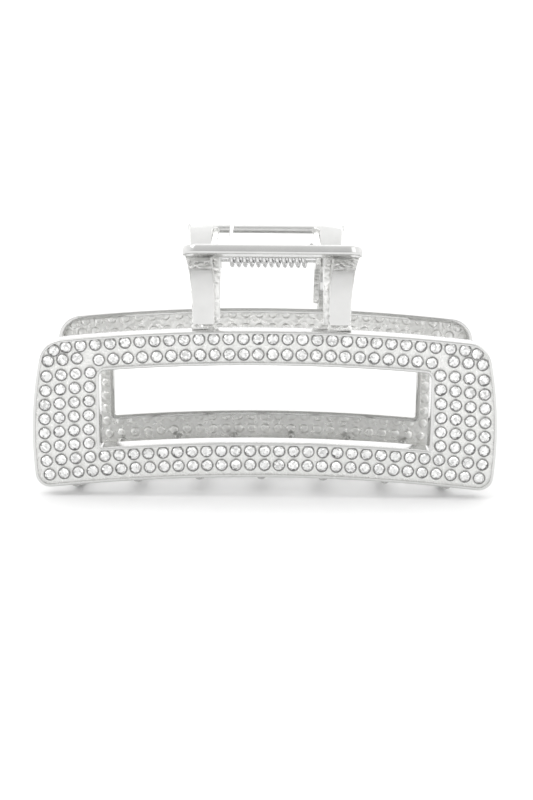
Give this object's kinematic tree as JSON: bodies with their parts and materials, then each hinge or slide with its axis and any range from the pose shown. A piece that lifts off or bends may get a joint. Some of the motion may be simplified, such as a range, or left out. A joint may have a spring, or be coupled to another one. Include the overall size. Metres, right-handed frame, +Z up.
{
  "type": "claw hair clip",
  "caption": "Sprung claw hair clip with two arched rectangular jaws set with clear round stones, looped finger handles and interlocking teeth.",
  "frame": {"origin": "middle of the clip at the level of the surface it stands on, under the hinge", "axes": "+Z up; X along the clip's length and the hinge pin; the front jaw faces -Y and the rear jaw faces +Y"},
  "size_m": [0.1, 0.0536, 0.0562],
  "materials": {
    "jaw_metal": "polished silver-coloured plating on a cast jaw, granular between the stone cups",
    "handle_metal": "polished silver-coloured plating with rougher cast flanks",
    "solder": "lumpy plated solder",
    "stones": "clear faceted flat-back stones, foil backed",
    "pin_metal": "drawn steel pin with two upset heads",
    "spring_wire": "plated spring wire"
  },
  "bodies": {
    "rear_half": {"rear_jaw_frame": "jaw_metal", "rear_teeth": "jaw_metal", "rear_handle": "handle_metal", "rear_solder_seams": "solder", "rear_top_outer_stones": "stones", "rear_top_inner_stones": "stones", "rear_left_stones": "stones", "rear_right_stones": "stones", "rear_lower_inner_stones": "stones", "rear_lower_outer_stones": "stones", "hinge_pin": "pin_metal", "torsion_spring": "spring_wire"},
    "front_half": {"front_jaw_frame": "jaw_metal", "front_teeth": "jaw_metal", "front_handle": "handle_metal", "front_solder_seams": "solder", "front_top_outer_stones": "stones", "front_top_inner_stones": "stones", "front_left_stones": "stones", "front_right_stones": "stones", "front_lower_inner_stones": "stones", "front_lower_outer_stones": "stones"}
  },
  "joints": [
    {"name": "jaw_hinge", "type": "hinge", "parent": "rear_half", "child": "front_half", "pos_m": [0, 0, 0.05011], "axis": [-1, 0, 0], "range_deg": [0, 45], "stiffness_Nm_per_rad": 0.3, "springref_deg": -28.65, "deforming": ["torsion_spring"]}
  ]
}
